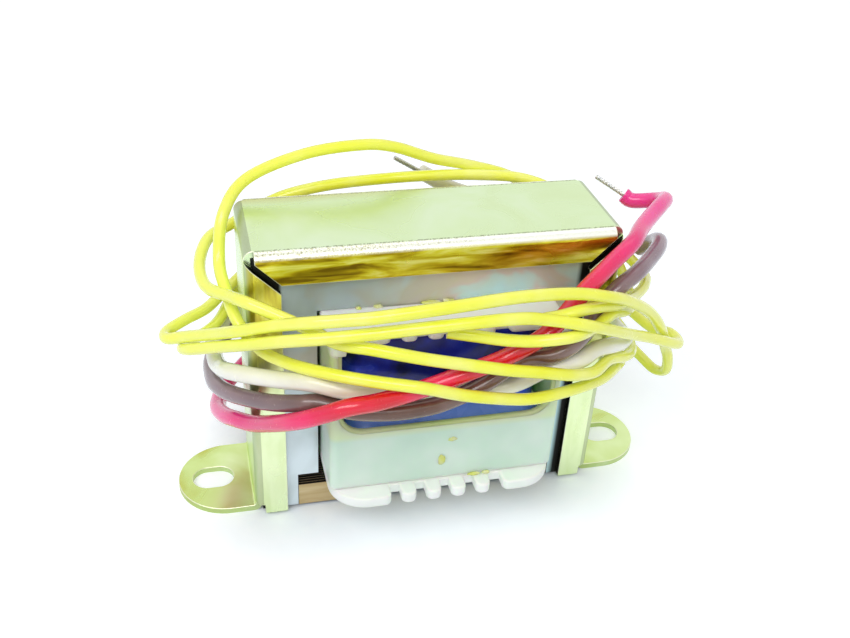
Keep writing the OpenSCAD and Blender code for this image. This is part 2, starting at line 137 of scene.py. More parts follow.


# PVC sleeve, extruded over the strands: smooth and a little soft, with a clear gloss,
# paler where the skin has been handled, and with a painted sheen where a loop stands out past the ends of the
# frame
def pvcSleeve(name, deep, body, pale, endSheen):
    material, tree, shader, place = startMaterial(name)
    clouds = addNode(tree, "TexNoise", {"Vector": place, "Scale": cells(7), "Detail": 2})
    skin = addNode(tree, "TexNoise", {"Vector": place, "Scale": cells(0.5), "Detail": 3})
    colour = addNode(tree, "ValToRGB", {"Fac": clouds.outputs["Fac"]},
                     stops=[(0.3, deep), (0.5, body), (0.72, pale)])
    axes = addNode(tree, "SeparateXYZ", {"Vector": place}).outputs
    aside = addNode(tree, "Math", {0: axes["X"]}, operation="ABSOLUTE")
    # painted sheen: loops out past the frame's ends are lightened towards the sheen tone, as if lit
    sheenAtEnds = addNode(tree, "MapRange", {"Value": aside.outputs[0], **between(*sleeveEndSheen["reach"]),
                                        "To Max": sleeveEndSheen["most"]})
    sheened = addNode(tree, "Mix", {0: sheenAtEnds.outputs["Result"], 6: colour.outputs["Color"], 7: linear(endSheen)},
                   data_type="RGBA")
    gloss = addNode(tree, "MapRange", {"Value": skin.outputs["Fac"], "To Min": 0.18, "To Max": 0.32})
    lumps = addNode(tree, "TexNoise", {"Vector": place, "Scale": cells(2.5), "Detail": 1})
    uneven = addNode(tree, "Bump", {"Height": lumps.outputs["Fac"], "Strength": 0.15, "Distance": 0.1 * mm})
    grain = addNode(tree, "Bump", {"Height": skin.outputs["Fac"], "Strength": 0.06, "Distance": 0.02 * mm,
                                   "Normal": uneven.outputs["Normal"]})
    dress(tree, shader, {"Base Color": sheened.outputs[2], "Roughness": gloss.outputs["Result"],
                         "Normal": grain.outputs["Normal"], "IOR": 1.45, "Coat Weight": 0.6,
                         "Coat Roughness": 0.12, "Subsurface Weight": 0.45, "Subsurface Scale": 1,
                         "Subsurface Radius": (0.9 * mm, 0.9 * mm, 0.6 * mm)})
    return material


# Tinned copper, stranded and dipped: bright grey metal with a warm tint where the tin is thin
def tinnedCopper():
    material, tree, shader, place = startMaterial("tinned_copper_strand")
    patches = addNode(tree, "TexNoise", {"Vector": place, "Scale": cells(1.2), "Detail": 3})
    colour = addNode(tree, "ValToRGB", {"Fac": patches.outputs["Fac"]},
                     stops=[(0.35, "#c9cbcc"), (0.6, "#d6d4cd"), (0.78, "#c79a78")])
    gloss = addNode(tree, "MapRange", {"Value": patches.outputs["Fac"], "To Min": 0.2, "To Max": 0.45})
    drawn = addNode(tree, "Bump", {"Height": patches.outputs["Fac"], "Strength": 0.3, "Distance": 0.02 * mm})
    dress(tree, shader, {"Base Color": colour.outputs["Color"], "Metallic": 1,
                         "Roughness": gloss.outputs["Result"], "Normal": drawn.outputs["Normal"]})
    return material


sleeveFinish = {colour: pvcSleeve(colour + "_pvc_sleeve", *tones) for colour, tones in sleeveTones.items()}
strandFinish = tinnedCopper()

# Curve steps of a sleeve between two route points and round it, and steps for measuring its length
sleeveSteps = {"along": 8, "round": 4, "measure": 16}
# Twisted ends, in millimetres; the soldered core's radii and length are shares of the bundle's own
strandWind = {"length": 5, "seat": 0.8, "turns": 1.6, "steps": 24, "count": 6, "edges": 8,
              "core": (0.36, 0.3), "coreRun": 0.98, "coreEdges": 12}

# Leads: sleeve and strand bundle diameters and the route, all in millimetres
leads = {
    "red": {"sleeve": 2.3, "strands": 0.7, "route": [
        (-8, 12.9, 21.5), (-8, 15, 21.5), (-9.5, 18, 21), (-13, 19.5, 19), (-18, 18, 15.5),
        (-23, 13.5, 12.8), (-27.5, 8, 11.8), (-29, 2, 12.8), (-28.5, -2.5, 14.5), (-27, -6.5, 16.5),
        (-24.5, -10.5, 18.5), (-20.5, -17.1, 23.5), (-17, -19.5, 26), (-14, -20.5, 27.5),
        (-10, -20, 27.5), (-4.5, -19, 28), (1.5, -18.5, 29.5), (6.5, -17.5, 30.5), (11, -17.5, 33),
        (14.3, -16.1, 35.2), (17.5, -14, 37.2), (20, -12.6, 38.5), (22.3, -11.2, 39.6),
        (24.6, -9.9, 40.6), (26.3, -8.3, 40.9), (28.5, -5.2, 40.7), (31.3, -2, 40.6),
        (34.3, 1.2, 40.6), (36.4, 4, 40), (36.3, 6.7, 38.6), (33.8, 8.9, 37.6), (32.7, 9.7, 38.2)]},
    "brown": {"sleeve": 2.3, "strands": 0.7, "route": [
        (-4.5, 12.9, 24.5), (-4.5, 15, 24.5), (-6, 18, 24.5), (-9.5, 19.5, 24), (-16, 18.5, 23),
        (-21.5, 15.5, 21.5), (-26, 11, 20), (-29, 6.5, 18.5), (-29.5, 2, 18.5), (-29, -2.5, 19.5),
        (-27, -7, 21), (-23, -12, 23), (-19.5, -15.5, 25), (-17, -16.5, 25.5), (-13, -18, 24.8),
        (-8, -18.5, 24.4), (-3.9, -18.3, 24.4), (-1, -18, 24.8), (3.5, -17.4, 26.2), (9, -16.5, 29),
        (12.5, -17.5, 30), (15.5, -17, 31), (18.6, -14.3, 31.3), (20.7, -11.6, 32.2),
        (24, -10.4, 34.8), (27, -9, 36), (30, -6, 35.9), (33.1, -2.5, 35.8), (34.8, 0.6, 35.2),
        (35.2, 3.2, 33.6), (34.6, 5.6, 31.2)]},
    "white": {"sleeve": 2.3, "strands": 0.7, "route": [
        (-1, 12.9, 27.5), (-1, 15, 27.5), (-2.5, 18, 27.5), (-6, 19.5, 27.5), (-14, 18.5, 26),
        (-20.5, 15.5, 24.5), (-25.5, 11.5, 23), (-28.5, 7, 21.5), (-29, 2, 21.5),
        (-28.5, -2.5, 22.5), (-27, -7.5, 25), (-22, -12, 26.5), (-18, -15.5, 28), (-14, -17.1, 27.5),
        (-9, -16.5, 26), (0, -15, 24.5), (5, -15.5, 24), (9, -16, 25), (12.1, -17, 27.4),
        (16.8, -16.7, 28.1), (20.1, -14.8, 28.3), (25, -11.5, 26.5), (27.5, -8, 25), (28, -4, 24),
        (27.5, 1, 24.5), (27, 5, 26), (25.5, 9.5, 29), (19, 15, 33), (11, 17.3, 36),
        (7.5, 17.6, 37.4), (5.2, 17.5, 38.9), (3.2, 17.3, 40.2)]},
    "yellow_a": {"sleeve": 1.6, "strands": 0.6, "route": [
        (2.5, 12.9, 21.5), (2.5, 15, 21.5), (3.5, 17, 21.5), (6.5, 18.5, 21), (13, 18, 20.5),
        (20, 15, 20), (26, 10, 19.5), (29.5, 4, 19), (29.5, -2, 19), (28.2, -6.8, 20.1),
        (25.5, -10.5, 21.5), (21.8, -14.1, 22.6), (16.4, -17.7, 24.3), (11, -19.3, 24.8),
        (7, -20, 25.6), (0.5, -20.9, 27.7), (-5, -21, 29.6), (-9.9, -19.9, 30.2), (-14, -18.5, 30.5),
        (-18, -15.5, 30), (-21, -12.5, 29.5), (-23.6, -10.4, 30.2), (-26, -7.4, 32.6),
        (-27.1, -3, 34.9), (-27.5, 1, 37), (-26.5, 4, 42), (-23, 8, 45), (-15, 10.5, 47),
        (-7, 11.5, 47.5), (-2, 12.5, 46.5), (4, 13.5, 44), (10.5, 14.5, 42), (17, 15, 39.5),
        (25, 12.5, 35), (31, 7.5, 31.5), (33.3, 1, 29.9), (31.3, -4, 30.8), (27.6, -8.4, 31.9),
        (23.2, -13.2, 34.1), (19.4, -15.4, 35.4), (15.7, -17.5, 36.5), (13.1, -17.8, 36.2),
        (10.8, -18, 36.1)]},
    "yellow_b": {"sleeve": 1.6, "strands": 0.6, "route": [
        (5.5, 12.9, 24.5), (5.5, 15, 24.5), (6.5, 17, 24.5), (9.5, 18.5, 24), (15, 17.5, 23),
        (20.5, 15, 22.5), (26.5, 10.5, 22), (30, 5, 21.5), (31, -1, 21), (30, -6, 21.5),
        (27, -10.5, 23.5), (22.9, -13.5, 25.4), (19, -17.4, 26.6), (15.1, -19.4, 28),
        (10.3, -20.3, 29.6), (6, -20.5, 30.6), (0.6, -20.3, 31.9), (-5, -19.9, 33.2),
        (-10.8, -18.8, 34.4), (-14.8, -16.8, 34.4), (-18.3, -14.7, 35.6), (-21.1, -12.7, 36.2),
        (-25, -10, 37), (-27, -6.5, 36), (-29.5, -2, 35), (-30, 3, 35.5), (-28.5, 8, 36.5),
        (-25, 11, 37), (-21, 11.3, 39.2), (-16.9, 11.6, 40.7), (-11, 12.3, 41.4), (-3.9, 13, 41.5),
        (3.1, 13, 41.6), (10.4, 13, 41.3), (17.6, 12.5, 40.5), (23, 10.5, 38.5), (28, 7, 34.5),
        (30.5, 1.5, 29.5), (27.6, -7.8, 29.9), (22.6, -12.8, 32.4), (18.9, -16, 32.8),
        (14.4, -19.7, 34.2), (9.9, -19.4, 33.8), (5.8, -19, 34.1), (2.1, -18.6, 34.8),
        (-1.6, -17.8, 35.3)]},
    "yellow_c": {"sleeve": 1.6, "strands": 0.6, "route": [
        (8.5, 12.9, 27), (8.5, 15, 27), (9.5, 17, 27), (12.5, 18.5, 26), (18, 18, 24.5),
        (23.5, 15.5, 21.5), (29.5, 11, 18), (34, 6, 15.5), (36.5, 2.5, 13.5), (38, 0, 12.5),
        (38.5, -2.5, 14), (37.5, -4, 17.5), (36, -5, 20.5), (32.8, -8.5, 25.9), (29.1, -10.9, 30.7),
        (23.7, -14.5, 35.3), (19.4, -16.7, 37.7), (14.5, -17.7, 39.2), (7, -19.1, 40.3),
        (-2, -19.9, 40.2), (-10.5, -19.8, 39.6), (-14, -18.6, 38.8), (-18, -17.1, 37.9),
        (-22, -14, 35.9), (-25.9, -10.8, 33.5), (-29, -6.5, 30.5), (-32.5, -2.6, 27.9),
        (-35, -0.5, 26.5), (-35, 2, 26), (-32.5, 4.5, 26), (-29.5, 7, 26), (-26.5, 10, 27),
        (-21, 16, 28), (-12.5, 22, 28.5), (-4, 23, 28.5), (4, 22.5, 29), (10, 21.5, 31),
        (15, 19.5, 33)]},
    "yellow_d": {"sleeve": 1.6, "strands": 0.6, "route": [
        (11.5, 12.9, 29), (11.5, 15, 29), (12.5, 17, 29), (15.5, 18, 28.5), (21, 16.5, 27),
        (26.5, 12.5, 24.5), (32.5, 7, 22), (36, 0, 20.5), (37, -4, 22), (36.1, -8.1, 22.9),
        (29.6, -11.3, 26.8), (25, -13.9, 29.6), (20, -17.4, 33.1), (16, -19.5, 35.5),
        (10.9, -19.6, 36.9), (6.4, -20.1, 37.9), (-2.2, -20.1, 37.8), (-10, -19.2, 37),
        (-16, -18.3, 36.3), (-21, -16.2, 35), (-26, -11, 31.5), (-28.5, -8, 29.5),
        (-32.5, -3.5, 26.5), (-33, -0.5, 25), (-31.5, 2.5, 24), (-28, 7, 23.7), (-24.5, 13, 25.7),
        (-19.5, 19, 25.5), (-12, 22.5, 25), (-3, 23, 24.5), (5, 22.5, 23), (12, 20.5, 20.5),
        (18, 18.5, 18)]},
}


# lays one sleeve along its route, with handles that make the curve pass through each point smoothly
def layLead(name, lead):
    route = [Vector(p) * mm for p in lead["route"]]
    curve = bpy.data.curves.new("sleeve_" + name, "CURVE")
    curve.dimensions = "3D"
    curve.resolution_u = sleeveSteps["along"]
    curve.bevel_depth = lead["sleeve"] * mm / 2
    curve.bevel_resolution = sleeveSteps["round"]
    curve.use_fill_caps = True
    spline = curve.splines.new("BEZIER")
    spline.bezier_points.add(len(route) - 1)
    for i, point in enumerate(spline.bezier_points):
        reach = (route[min(i + 1, len(route) - 1)] - route[max(i - 1, 0)]) / 6
        point.handle_left_type = point.handle_right_type = "FREE"
        point.co, point.handle_left, point.handle_right = route[i], route[i] - reach, route[i] + reach
    colour = name.split("_")[0]
    sleeve = addPiece("sleeve_" + name, curve, sleeveFinish[colour], ["lead_" + name])
    return sleeve, route


# twists strands a third of the bundle wide round a soldered core, from inside the sleeve to the cut end
def twistStrands(name, lead, route):
    wide = lead["strands"] * mm
    run = (strandWind["length"] + strandWind["seat"]) * mm
    bm = bmesh.new()
    for k in range(strandWind["count"]):
        around = Matrix.Rotation(math.radians(360 * k / strandWind["count"]), 4, "Z")
        bmesh.ops.create_circle(bm, segments=strandWind["edges"], radius=wide / 6,
                                matrix=around @ Matrix.Translation((wide / 3, 0, 0)))
    bmesh.ops.spin(bm, geom=bm.verts[:] + bm.edges[:], cent=(0, 0, 0), axis=(0, 0, 1),
                   dvec=(0, 0, run / strandWind["steps"]), angle=math.radians(360 * strandWind["turns"]),
                   steps=strandWind["steps"], use_merge=False)
    bmesh.ops.holes_fill(bm, edges=bm.edges[:], sides=strandWind["edges"])
    inner, outer = strandWind["core"]
    coreRun = run * strandWind["coreRun"]
    bmesh.ops.create_cone(bm, cap_ends=True, segments=strandWind["coreEdges"], radius1=wide * inner,
                          radius2=wide * outer, depth=coreRun, matrix=Matrix.Translation((0, 0, coreRun / 2)))
    bmesh.ops.recalc_face_normals(bm, faces=bm.faces[:])
    ahead = (route[-1] - route[-2]).normalized()
    start = Matrix.Translation(route[-1] - ahead * strandWind["seat"] * mm)
    heading = ahead.to_track_quat("Z", "Y").to_matrix().to_4x4()
    bmesh.ops.transform(bm, matrix=start @ heading, verts=bm.verts[:])
    mesh = closeMesh(bm, "strands_" + name)
    return addPiece("strands_" + name, mesh, strandFinish, ["tip_" + name])


# length of the smooth line through a route
def routeLength(curve):
    points = curve.splines[0].bezier_points
    total = 0
    for a, b in zip(points, points[1:]):
        steps = interpolate_bezier(a.co, a.handle_right, b.handle_left, b.co, sleeveSteps["measure"] + 1)
        total += sum((q - p).length for p, q in zip(steps, steps[1:]))
    return total


for name, lead in leads.items():
    sleeve, route = layLead(name, lead)
    strands = twistStrands(name, lead, route)
    routeLength(sleeve.data)
print("leads laid:", len(leads))

# Folded frame, in millimetres: its broken edges, then the places where its finish changes
frameRounds = {"edge": 0.1, "segments": 2}
frameZones = {"foot": (4, 1.2), "rear": (5.2, 7), "leftward": (6, -14), "lip": (7.7, 8.2),
              "lipHigh": (20, 31), "mitre": -17.4, "topFold": (41.4, 41.8), "foldHighlight": (-10, 10),
              "crest": (42.1, 42.3), "crestLine": 7.15, "crestWidth": (0.2, 0.06)}


# Cold-rolled strip, zinc plated, dipped in yellow chromate and then folded: a satin mirror,
# sage on the flat top, with a painted reflection of the yellow lead in tan at its rear -X end, lime on the
# feet, gold and streaked high on the lips, partly own chromate and partly painted reflections of the leads
# and the dark front, bright zinc on the top fold with a painted highlight growing towards +X, worn edges, and
# sheared edges darkened as painted shade
def yellowChromateSteel():
    material, tree, shader, place = startMaterial("yellow_chromate_steel")
    axes = addNode(tree, "SeparateXYZ", {"Vector": place}).outputs
    aside = addNode(tree, "Math", {0: axes["X"]}, operation="ABSOLUTE")
    outward = addNode(tree, "Math", {0: axes["Y"]}, operation="ABSOLUTE")
    # the flat top and the feet
    clouds = addNode(tree, "TexNoise", {"Vector": place, "Scale": cells(11), "Detail": 3, "Distortion": 0.6})
    sage = addNode(tree, "ValToRGB", {"Fac": clouds.outputs["Fac"]},
                   stops=[(0.32, "#d6eab6"), (0.5, "#daeec0"), (0.68, "#e0f1d0")])
    lime = addNode(tree, "ValToRGB", {"Fac": clouds.outputs["Fac"]},
                   stops=[(0.36, "#c2c862"), (0.46, "#cde08c"), (0.58, "#d6ea9e"), (0.7, "#e2f4b8")])
    # painted reflection of the yellow lead: tan at the rear -X end of the top
    rear = addNode(tree, "MapRange", {"Value": axes["Y"], **between(*frameZones["rear"]), "To Max": 0.75})
    leftward = addNode(tree, "MapRange", {"Value": axes["X"], **between(*frameZones["leftward"])})
    leadReflection = addNode(tree, "Math", {0: rear.outputs["Result"], 1: leftward.outputs["Result"]},
                      operation="MULTIPLY")
    flat = addNode(tree, "Mix", {0: leadReflection.outputs[0], 6: sage.outputs["Color"], 7: linear("#cfcf86")},
                   data_type="RGBA")
    low = addNode(tree, "MapRange", {"Value": axes["Z"], **between(*frameZones["foot"])})
    film = addNode(tree, "Mix", {0: low.outputs["Result"], 6: flat.outputs[2], 7: lime.outputs["Color"]},
                   data_type="RGBA")
    # streaks that run along the upper lips and up the side lips: chromate gold with painted reflections of
    # the leads and the dark front
    along = addNode(tree, "Mapping", {"Vector": place, "Scale": (cells(8), cells(2), cells(1.2))})
    upright = addNode(tree, "Mapping", {"Vector": place, "Scale": (cells(1.6), cells(2), cells(7))})
    corner = addNode(tree, "Math", {0: aside.outputs[0], 1: axes["Z"]}, operation="SUBTRACT")
    onSide = addNode(tree, "Math", {0: corner.outputs[0], 1: frameZones["mitre"] * mm},
                     operation="GREATER_THAN")
    drawn = addNode(tree, "Mix", {0: onSide.outputs[0], 4: along.outputs["Vector"],
                                  5: upright.outputs["Vector"]}, data_type="VECTOR")
    streaks = addNode(tree, "TexNoise", {"Vector": drawn.outputs[1], "Scale": 1, "Detail": 4,
                                         "Distortion": 0.5})
    goldAndReflection = addNode(tree, "ValToRGB", {"Fac": streaks.outputs["Fac"]},
                   stops=[(0.35, "#77600c"), (0.45, "#bca61c"), (0.54, "#ddd43c"), (0.66, "#f5f394")])
    calm = addNode(tree, "Math", {0: onSide.outputs[0], 1: 0.5}, operation="MULTIPLY")
    lipGoldAndReflection = addNode(tree, "Mix", {0: calm.outputs[0], 6: goldAndReflection.outputs["Color"], 7: linear("#d2c85c")},
                      data_type="RGBA")
    pale = addNode(tree, "ValToRGB", {"Fac": streaks.outputs["Fac"]},
                   stops=[(0.35, "#e2f1ba"), (0.6, "#ebf8c8")])
    # painted reflection: high on the lips the pale film turns to the darker gold streaks
    high = addNode(tree, "MapRange", {"Value": axes["Z"], **between(*frameZones["lipHigh"])})
    lip = addNode(tree, "Mix", {0: high.outputs["Result"], 6: pale.outputs["Color"], 7: lipGoldAndReflection.outputs[2]},
                  data_type="RGBA")
    onLip = addNode(tree, "MapRange", {"Value": outward.outputs[0], **between(*frameZones["lip"])})
    dipped = addNode(tree, "Mix", {0: onLip.outputs["Result"], 6: film.outputs[2], 7: lip.outputs[2]},
                     data_type="RGBA")
    # bright zinc where the top is folded, with a painted highlight that grows towards +X
    grain = addNode(tree, "TexNoise", {"Vector": place, "Scale": cells(0.22), "Detail": 2})
    zinc = addNode(tree, "ValToRGB", {"Fac": grain.outputs["Fac"]},
                   stops=[(0.3, "#a9a57c"), (0.42, "#d9dac0"), (0.6, "#f4f6ea")])
    # painted highlight: the fold's zinc brightens towards +X
    foldHighlight = addNode(tree, "MapRange", {"Value": axes["X"], **between(*frameZones["foldHighlight"]), "To Max": 0.85})
    zincAndHighlight = addNode(tree, "Mix", {0: foldHighlight.outputs["Result"], 6: zinc.outputs["Color"],
                                     7: linear("#f6f8ee")}, data_type="RGBA")
    folds = addNode(tree, "Attribute", {}, attribute_name="fold")
    upper = addNode(tree, "MapRange", {"Value": axes["Z"], **between(*frameZones["topFold"])})
    bright = addNode(tree, "Math", {0: folds.outputs["Fac"], 1: upper.outputs["Result"]},
                     operation="MULTIPLY")
    bent = addNode(tree, "Mix", {0: bright.outputs[0], 6: dipped.outputs[2], 7: zincAndHighlight.outputs[2]},
                   data_type="RGBA")
    # a dotted dark line where the fold meets the flat top
    offLine = addNode(tree, "Math", {0: outward.outputs[0], 1: frameZones["crestLine"] * mm},
                      operation="SUBTRACT")
    nearLine = addNode(tree, "Math", {0: offLine.outputs[0]}, operation="ABSOLUTE")
    line = addNode(tree, "MapRange", {"Value": nearLine.outputs[0], **between(*frameZones["crestWidth"])})
    crest = addNode(tree, "MapRange", {"Value": axes["Z"], **between(*frameZones["crest"])})
    onCrest = addNode(tree, "Math", {0: line.outputs["Result"], 1: crest.outputs["Result"]},
                      operation="MULTIPLY")
    specks = addNode(tree, "MapRange", {"Value": grain.outputs["Fac"], "From Min": 0.62, "From Max": 0.4,
                                        "To Max": 0.8})
    dotted = addNode(tree, "Math", {0: onCrest.outputs[0], 1: specks.outputs["Result"]},
                     operation="MULTIPLY")
    marked = addNode(tree, "Mix", {0: dotted.outputs[0], 6: bent.outputs[2], 7: linear("#77795c")},
                     data_type="RGBA")
    # painted shade on sheared lip edges, side folds and foot edges, and worn edges
    shearShades = addNode(tree, "Attribute", {}, attribute_name="shear")
    # painted shade: sheared lip edges near black, side folds and foot edges darker
    shadedCut = addNode(tree, "Mix", {0: shearShades.outputs["Fac"], 6: marked.outputs[2], 7: linear("#1d1c12")},
                  data_type="RGBA")
    edges = addNode(tree, "Attribute", {}, attribute_name="edgeWear")
    colour = addNode(tree, "Mix", {0: edges.outputs["Fac"], 6: shadedCut.outputs[2], 7: linear("#eceed4")},
                     data_type="RGBA")
    rough = addNode(tree, "MapRange", {"Value": clouds.outputs["Fac"], "To Min": 0.2, "To Max": 0.36})
    gloss = addNode(tree, "Math", {0: shearShades.outputs["Fac"], 1: 0.3, 2: rough.outputs["Result"]},
                    operation="MULTIPLY_ADD")
    dents = addNode(tree, "TexNoise", {"Vector": place, "Scale": cells(8), "Detail": 1})
    wavy = addNode(tree, "Bump", {"Height": dents.outputs["Fac"], "Strength": 0.5, "Distance": 0.25 * mm})
    skin = addNode(tree, "Bump", {"Height": grain.outputs["Fac"], "Strength": 0.05, "Distance": 0.01 * mm,
                                  "Normal": wavy.outputs["Normal"]})
    dress(tree, shader, {"Base Color": colour.outputs[2], "Metallic": 0.9, "Roughness": gloss.outputs[0],
                         "Normal": skin.outputs["Normal"]})
    return material


# Edge rounds of the CAD shapes: merging and sliver lengths in millimetres, angles in degrees
soften = {"merge": 0.03, "flat": 1, "sharp": 40, "sliver": 0.004, "edgeMark": 0.75}


# copies a node's mesh, merges its loose triangles and joins those that lie flat
def copyNode(node):
    bm = bmesh.new()
    bm.from_mesh(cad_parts[node].data)
    bmesh.ops.remove_doubles(bm, verts=bm.verts[:], dist=soften["merge"] * mm)
    bmesh.ops.dissolve_limit(bm, angle_limit=math.radians(soften["flat"]), verts=bm.verts[:],
                             edges=bm.edges[:])
    return bm


# rounds a mesh's sharp outer edges and marks only them as worn,
# apart from those whose middle lies between the two heights in keep
def softenEdges(bm, edge, segments, keep=(0, 0)):
    edgeMark = bm.faces.layers.float.new("edgeWear")
    sharp = [e for e in bm.edges if len(e.link_faces) == 2
             and e.calc_face_angle_signed() > math.radians(soften["sharp"])
             and not keep[0] < (e.verts[0].co.z + e.verts[1].co.z) / 2 / mm < keep[1]]
    rounded = bmesh.ops.bevel(bm, geom=sharp, offset=edge * mm, offset_type="OFFSET", affect="EDGES",
                              segments=segments, profile=0.5, material=-1, clamp_overlap=False)
    for face in rounded["faces"]:
        for mark in bm.faces.layers.float.values():
            face[mark] = 0
        face[edgeMark] = soften["edgeMark"]
    bmesh.ops.dissolve_degenerate(bm, dist=soften["sliver"] * mm, edges=bm.edges[:])
    return bm


# Marks on the frame's sheet: how square a face stands, heights and depths in millimetres, then strengths of
# the fold and of the painted shade
sheetMarks = {"square": 0.985, "level": 0.1, "footTop": 1.4, "flatHalf": 7.1, "topFold": 40, "lipEdge": 7.35,
              "lipLow": 1.2, "footLow": 1, "sideFoldShade": (0.15, 0.35), "footEdgeShade": 0.25}


# marks the folded faces of the frame, and painted shade on its sheared faces at the lips' edges, on its side
# folds and round the feet
def markSheet(bm):
    fold, shear = (bm.faces.layers.float.new(name) for name in ("fold", "shear"))
    for face in bm.faces:
        at, lean = face.calc_center_median() / mm, face.normal
        facesOut = abs(lean.y) > sheetMarks["level"]
        slanted = max(abs(c) for c in lean) < sheetMarks["square"]
        if slanted and at.z > sheetMarks["footTop"] and (facesOut or abs(at.y) < sheetMarks["flatHalf"]):
            topFold = at.z > sheetMarks["topFold"] and facesOut
            face[fold], face[shear] = (1, 0) if topFold else sheetMarks["sideFoldShade"]
        if abs(at.y) > sheetMarks["lipEdge"] and not facesOut and at.z > sheetMarks["lipLow"]:
            face[shear] = 1
        if at.z < sheetMarks["footLow"] and abs(lean.z) < sheetMarks["level"]:
            face[shear] = sheetMarks["footEdgeShade"]
    return bm


sheet = softenEdges(markSheet(copyNode("channel_frame")), **frameRounds)
shell = addPiece("folded_frame", closeMesh(sheet, "folded_frame"), yellowChromateSteel(),
                 ["channel_frame"])
shell.modifiers.new("even", "WEIGHTED_NORMAL").keep_sharp = True
print("frame folded")

# Laminations: punched E sheets, and strips of the bottom bar, stacked along y, in millimetres
stack = {"depth": 14.8, "sheets": 30, "gap": 0.03, "burr": 0.035, "burrShade": 0.85, "play": 0.05}
eSheet = {"half": 24, "low": 0.4, "top": 41.4, "centre": 8, "window": 16, "windowTop": 33.2,
          "tip": 18.9, "step": 6.0, "barTop": 4.1}
# where the sheets' painted reflections drift across, where the painted shade lies behind the lips, and
# towards the painted shade at the upper corner
sheetZones = {"reflectionDrift": (-24, 24), "sideLip": (20.4, 20.8), "rightLip": (19.1, 19.8), "upperLip": (37.9, 38.3),
              "shadeHigh": (20, 37), "shadeLeft": (4, -12)}
halfE = [(eSheet["half"], eSheet["top"]), (eSheet["half"], eSheet["low"]), (eSheet["tip"], eSheet["low"]),
         (eSheet["tip"], eSheet["step"]), (eSheet["window"], eSheet["step"]),
         (eSheet["window"], eSheet["windowTop"]), (eSheet["centre"], eSheet["windowTop"]),
         (eSheet["centre"], eSheet["barTop"])]
eOutline = halfE + [(-x, z) for x, z in reversed(halfE)]
barHalf = eSheet["tip"] - stack["play"]
barOutline = [(barHalf, eSheet["barTop"]), (barHalf, eSheet["low"]),
              (-barHalf, eSheet["low"]), (-barHalf, eSheet["barTop"])]


# Silicon steel sheet with its thin mill coating: grey gloss, its colour drifting from blue through rose to
# cyan as painted reflections, painted shade at its upper -X corner, and black painted shade where the lips
# cover it and on its punched edges
def coatedSiliconSteel():
    material, tree, shader, place = startMaterial("coated_silicon_steel")
    axes = addNode(tree, "SeparateXYZ", {"Vector": place}).outputs
    clouds = addNode(tree, "TexNoise", {"Vector": place, "Scale": cells(10), "Detail": 3, "Distortion": 0.5})
    # painted reflection: the coat colour drifts across X and in clouds
    reflectionDrift = addNode(tree, "MapRange", {"Value": axes["X"], **between(*sheetZones["reflectionDrift"]),
                                       "To Min": -0.28, "To Max": 0.24})
    across = addNode(tree, "Math", {0: clouds.outputs["Fac"], 1: reflectionDrift.outputs["Result"]}, operation="ADD")
    coatAndReflections = addNode(tree, "ValToRGB", {"Fac": across.outputs[0]},
                   stops=[(0.24, "#e0ecf2"), (0.38, "#d2dee2"), (0.47, "#d2cab6"), (0.55, "#d4c8c2"),
                          (0.62, "#c8dcda"), (0.75, "#c0e2e8")])
    # painted shade: darker at the upper -X corner, under the top lip
    high = addNode(tree, "MapRange", {"Value": axes["Z"], **between(*sheetZones["shadeHigh"]), "To Max": 0.7})
    farLeft = addNode(tree, "MapRange", {"Value": axes["X"], **between(*sheetZones["shadeLeft"])})
    lipShade = addNode(tree, "Math", {0: high.outputs["Result"], 1: farLeft.outputs["Result"]},
                     operation="MULTIPLY")
    shaded = addNode(tree, "Mix", {0: lipShade.outputs[0], 6: coatAndReflections.outputs["Color"], 7: linear("#7d8a90")},
                     data_type="RGBA")
    # painted shade: black where the lips cover the sheet and on its punched edges
    aside = addNode(tree, "Math", {0: axes["X"]}, operation="ABSOLUTE")
    sides = addNode(tree, "MapRange", {"Value": aside.outputs[0], **between(*sheetZones["sideLip"])})
    right = addNode(tree, "MapRange", {"Value": axes["X"], **between(*sheetZones["rightLip"])})
    behind = addNode(tree, "Math", {0: sides.outputs["Result"], 1: right.outputs["Result"]},
                     operation="MAXIMUM")
    under = addNode(tree, "MapRange", {"Value": axes["Z"], **between(*sheetZones["upperLip"])})
    lipShadow = addNode(tree, "Math", {0: behind.outputs[0], 1: under.outputs["Result"]}, operation="MAXIMUM")
    punchedShade = addNode(tree, "Attribute", {}, attribute_name="edgeWear")
    dark = addNode(tree, "Math", {0: lipShadow.outputs[0], 1: punchedShade.outputs["Fac"]}, operation="MAXIMUM")
    colour = addNode(tree, "Mix", {0: dark.outputs[0], 6: shaded.outputs[2], 7: linear("#0e0e0c")},
                     data_type="RGBA")
    gloss = addNode(tree, "MapRange", {"Value": clouds.outputs["Fac"], "To Min": 0.34, "To Max": 0.5})
    grain = addNode(tree, "TexNoise", {"Vector": place, "Scale": cells(0.6), "Detail": 2})
    skin = addNode(tree, "Bump", {"Height": grain.outputs["Fac"], "Strength": 0.12, "Distance": 0.02 * mm})
    dress(tree, shader, {"Base Color": colour.outputs[2], "Metallic": 0.55,
                         "Roughness": gloss.outputs["Result"], "Normal": skin.outputs["Normal"]})
    return material


